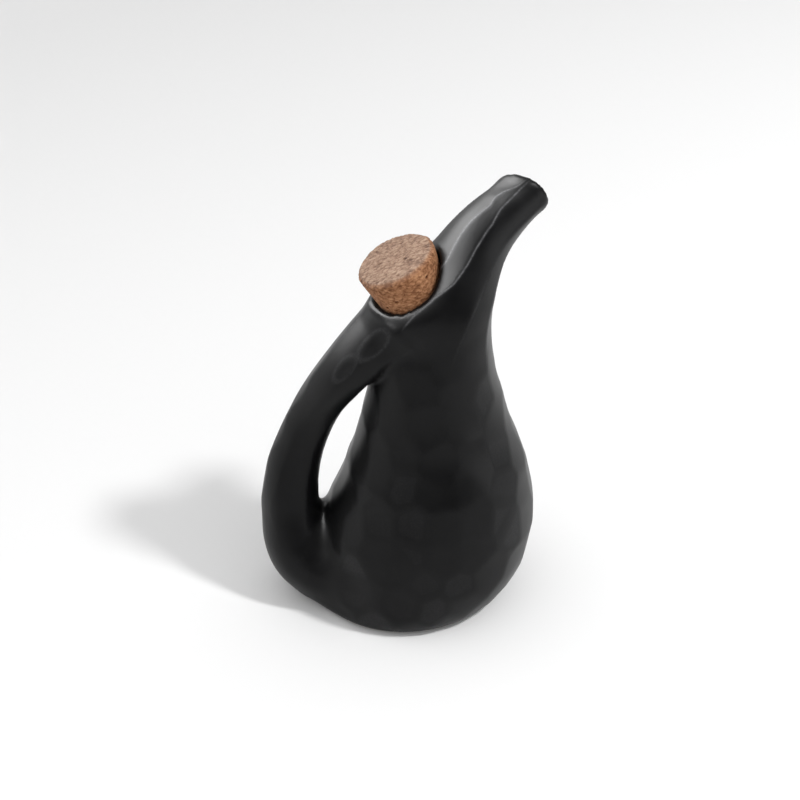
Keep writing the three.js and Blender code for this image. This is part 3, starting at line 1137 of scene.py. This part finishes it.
# %% Cork material
def pressed_cork():
    material, output, place = new_material("pressed_cork")
    along_grain = add_node(
        material, "ShaderNodeMapping", None, Vector=place, Rotation=(0, tilt, 0), Scale=(0.55, 1, 1)
    ).outputs["Vector"]
    grains = cells(material, along_grain, size_mm=1.3).outputs["Color"]
    tone = add_node(material, "ShaderNodeSeparateColor", None, Color=grains).outputs[0]
    fine = noise(material, along_grain, size_mm=0.9, detail=6.0)
    broad = noise(material, place, size_mm=9, detail=3.0)
    mixed = times_plus(material, tone, 0.25, times_plus(material, broad, 0.5, -0.45))
    mixed = times_plus(material, fine, 1.1, mixed)
    tans = [(0.15, "#6f4f38"), (0.38, "#94735a"), (0.6, "#b09076"), (0.9, "#c8ab91")]
    pits = [(0.0, "#ffffff"), (0.45, "#b39a88"), (1.0, "#523726")]
    dark = ramp(material, at_vertices(material, "pit"), pits)
    shade = blended(material, 1.0, ramp(material, mixed, tans), dark, "MULTIPLY")
    # the cut faces are paler than the side
    paler_cut_faces = ramp(material, at_vertices(material, "sanded"), [(0.0, "#ead0b8"), (1.0, "#f0eeee")])
    shade = blended(material, 1.0, shade, paler_cut_faces, "MULTIPLY")
    bump = add_node(material, "ShaderNodeBump", None, Strength=0.6, Distance=0.5 * MM, Height=fine)
    normal = bump.outputs["Normal"]
    return surfaced(material, output, 0.2, Base_Color=shade, Roughness=0.88, Normal=normal)


stopper.data.materials.append(pressed_cork())
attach(stopper, "cork")
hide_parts("cork_stopper")

# %% [markdown]
# ## The floor
#
# The cruet stands on pale, seamless paper. It is one flat square, far wider
# than the view, and a slow ramp of grey is painted shade, where the light falls
# off towards the far left.

# %% Floor
floor_size = 6000
corners = np.array([[-1, -1, 0], [1, -1, 0], [1, 1, 0], [-1, 1, 0]]) * floor_size / 2
floor = mesh_from("floor", corners, [[0, 1, 2, 3]], smooth=False)


def pale_floor():
    """Matt white paper, with painted shade that darkens it a little towards the far left."""
    material, output, place = new_material("pale_matt_floor")
    split = add_node(material, "ShaderNodeSeparateXYZ", None, Vector=place)
    # painted shade: the paper darkens towards the far left
    away = times_plus(material, split.outputs["X"], -0.5, split.outputs["Y"])
    share = ranged(material, away, 0.05, 0.75, 0.0, 1.0)
    colour = ramp(material, share, [(0.0, "#ededed"), (1.0, "#d9d9d9")])
    return surfaced(material, output, 0.1, Base_Color=colour, Roughness=0.9)


floor.data.materials.append(pale_floor())


# %% [markdown]
# ## Light
#
# A small key lamp high on the right casts the one shadow. Black glaze shows
# little of its own colour and much of what it mirrors, so four wide soft boxes
# draw its sheen: two above and behind on the left, for the upper faces, and
# two on the right, for the rims of the facets. They light nothing else, or
# the floor would have five shadows. The room is bright for matt things, and
# for mirrored rays it is bright at the back and dark in front, as a studio is.

# %% Lamps
look_at = np.array([0, 0, 90])


def soft_lamp(name, way, distance, size, watts, only_sheen=False):
    """An area lamp in a direction from the cruet's middle, facing it. Distance and size in mm."""
    data = bpy.data.lights.new(name, "AREA")
    data.shape = "DISK"
    data.size = size * MM
    data.energy = watts
    lamp = bpy.data.objects.new(name, data)
    bpy.context.scene.collection.objects.link(lamp)
    way = np.array(way, float) / np.linalg.norm(way)
    lamp.location = (look_at + distance * way) * MM
    lamp.rotation_euler = Vector((-way).tolist()).to_track_quat("-Z", "Y").to_euler()
    lamp.visible_diffuse = not only_sheen


soft_lamp("key_lamp", (0.67, -0.36, 1.0), 1900, 220, 20)
soft_lamp("back_left_box", (-0.62, 0.45, 0.64), 1100, 1200, 46, only_sheen=True)
soft_lamp("top_box", (-0.50, 0.10, 0.86), 1100, 1000, 46, only_sheen=True)
soft_lamp("right_box", (0.76, -0.50, 0.05), 1200, 800, 4.5, only_sheen=True)
soft_lamp("right_strip", (0.95, 0.65, 0.35), 1200, 320, 0.4, only_sheen=True)

# %% World
world = bpy.data.worlds.new("bright_room")
bpy.context.scene.world = world
world.use_nodes = True
world.node_tree.nodes.clear()
room_strength = 0.83
bright_side = (-0.45, 0.6, 0.66)
way = add_node(world, "ShaderNodeTexCoord").outputs["Generated"]
dot_product = {"operation": "DOT_PRODUCT"}
towards = add_node(world, "ShaderNodeVectorMath", dot_product, _0=way, _1=bright_side)
mirrored = ranged(world, towards.outputs["Value"], -0.3, 1.0, 0.05, 1.2)
glossy_ray = add_node(world, "ShaderNodeLightPath").outputs["Is Glossy Ray"]
strength = ranged(world, glossy_ray, 0.0, 1.0, room_strength, mirrored)
background = add_node(world, "ShaderNodeBackground", None, Color=(1, 1, 1, 1), Strength=strength)
output = add_node(world, "ShaderNodeOutputWorld")
world.node_tree.links.new(background.outputs[0], output.inputs["Surface"])

# %% [markdown]
# ## Camera
#
# It stands where the photographer's did: about 0.9 m away, looking down by 35
# degrees, with a lens of 85 mm on a sensor 36 mm wide.

# %% Camera
camera_place = np.array([-99.2, -677.2, 577.0])
camera_down = 34.8
camera_turn = 8.2
camera_lens = 85.57
sensor_width = 36
data = bpy.data.cameras.new("camera")
data.lens = camera_lens
data.sensor_width = sensor_width
camera = bpy.data.objects.new("camera", data)
bpy.context.scene.collection.objects.link(camera)
camera.location = camera_place * MM
camera.rotation_euler = (math.radians(90 - camera_down), 0, -math.radians(camera_turn))
bpy.context.scene.camera = camera
bpy.context.scene.view_settings.view_transform = "Standard"
